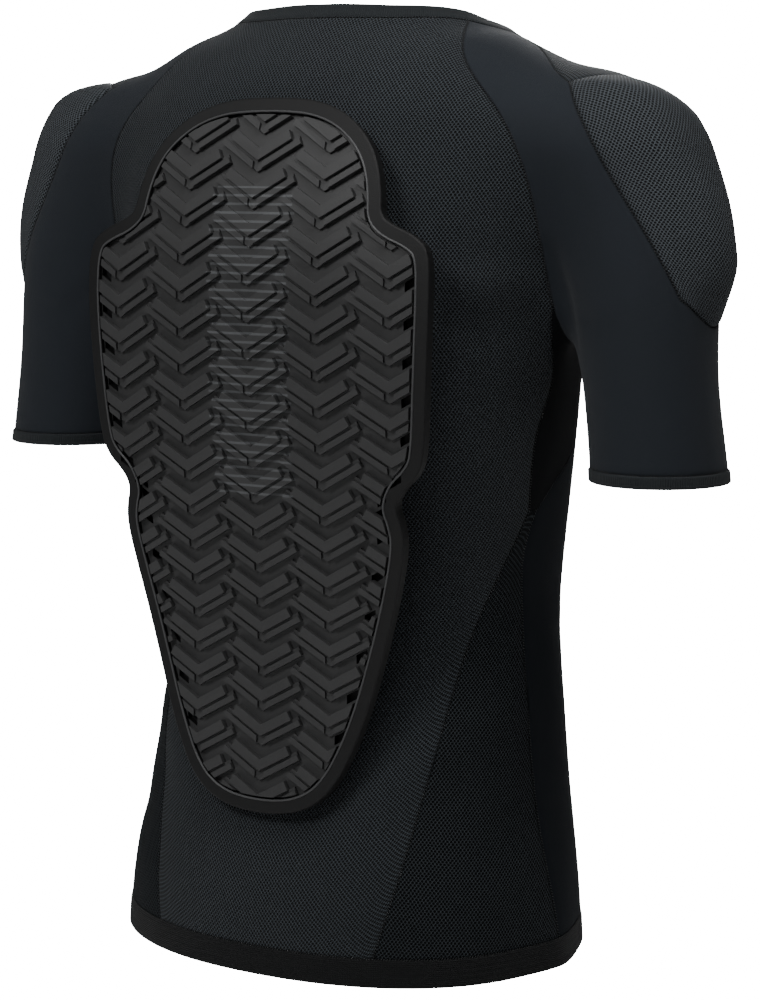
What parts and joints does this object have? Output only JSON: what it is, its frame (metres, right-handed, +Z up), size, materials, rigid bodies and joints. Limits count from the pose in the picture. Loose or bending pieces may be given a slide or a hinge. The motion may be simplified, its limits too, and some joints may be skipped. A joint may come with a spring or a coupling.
{
  "type": "padded compression shirt",
  "caption": "Short-sleeved compression shirt with mesh panels, padded shoulder caps and a moulded back protector, worn form with open neck, cuffs and hem.",
  "frame": {"origin": "middle of the neck hole, where the shirt hangs on its wearer", "axes": "+Z up towards the wearer's head, +Y towards the wearer's back, +X towards the wearer's left arm"},
  "size_m": [0.5944, 0.2791, 0.672],
  "materials": {
    "mesh_knit": "matte",
    "smooth_knit": "matte",
    "elastic_band": "matte",
    "protector_foam": "satin"
  },
  "bodies": {
    "root": {"back_panel": "mesh_knit", "front_panel": "smooth_knit", "side_panel_left": "mesh_knit", "side_panel_right": "mesh_knit", "gusset_left": "smooth_knit", "gusset_right": "smooth_knit", "sleeve_left": "smooth_knit", "sleeve_right": "smooth_knit", "shoulder_cap_left": "mesh_knit", "shoulder_cap_right": "mesh_knit", "shoulder_front_left": "mesh_knit", "shoulder_front_right": "mesh_knit", "cuff_left": "smooth_knit", "cuff_right": "smooth_knit", "collar": "smooth_knit", "hem_band": "elastic_band", "back_protector": "protector_foam"}
  },
  "joints": []
}
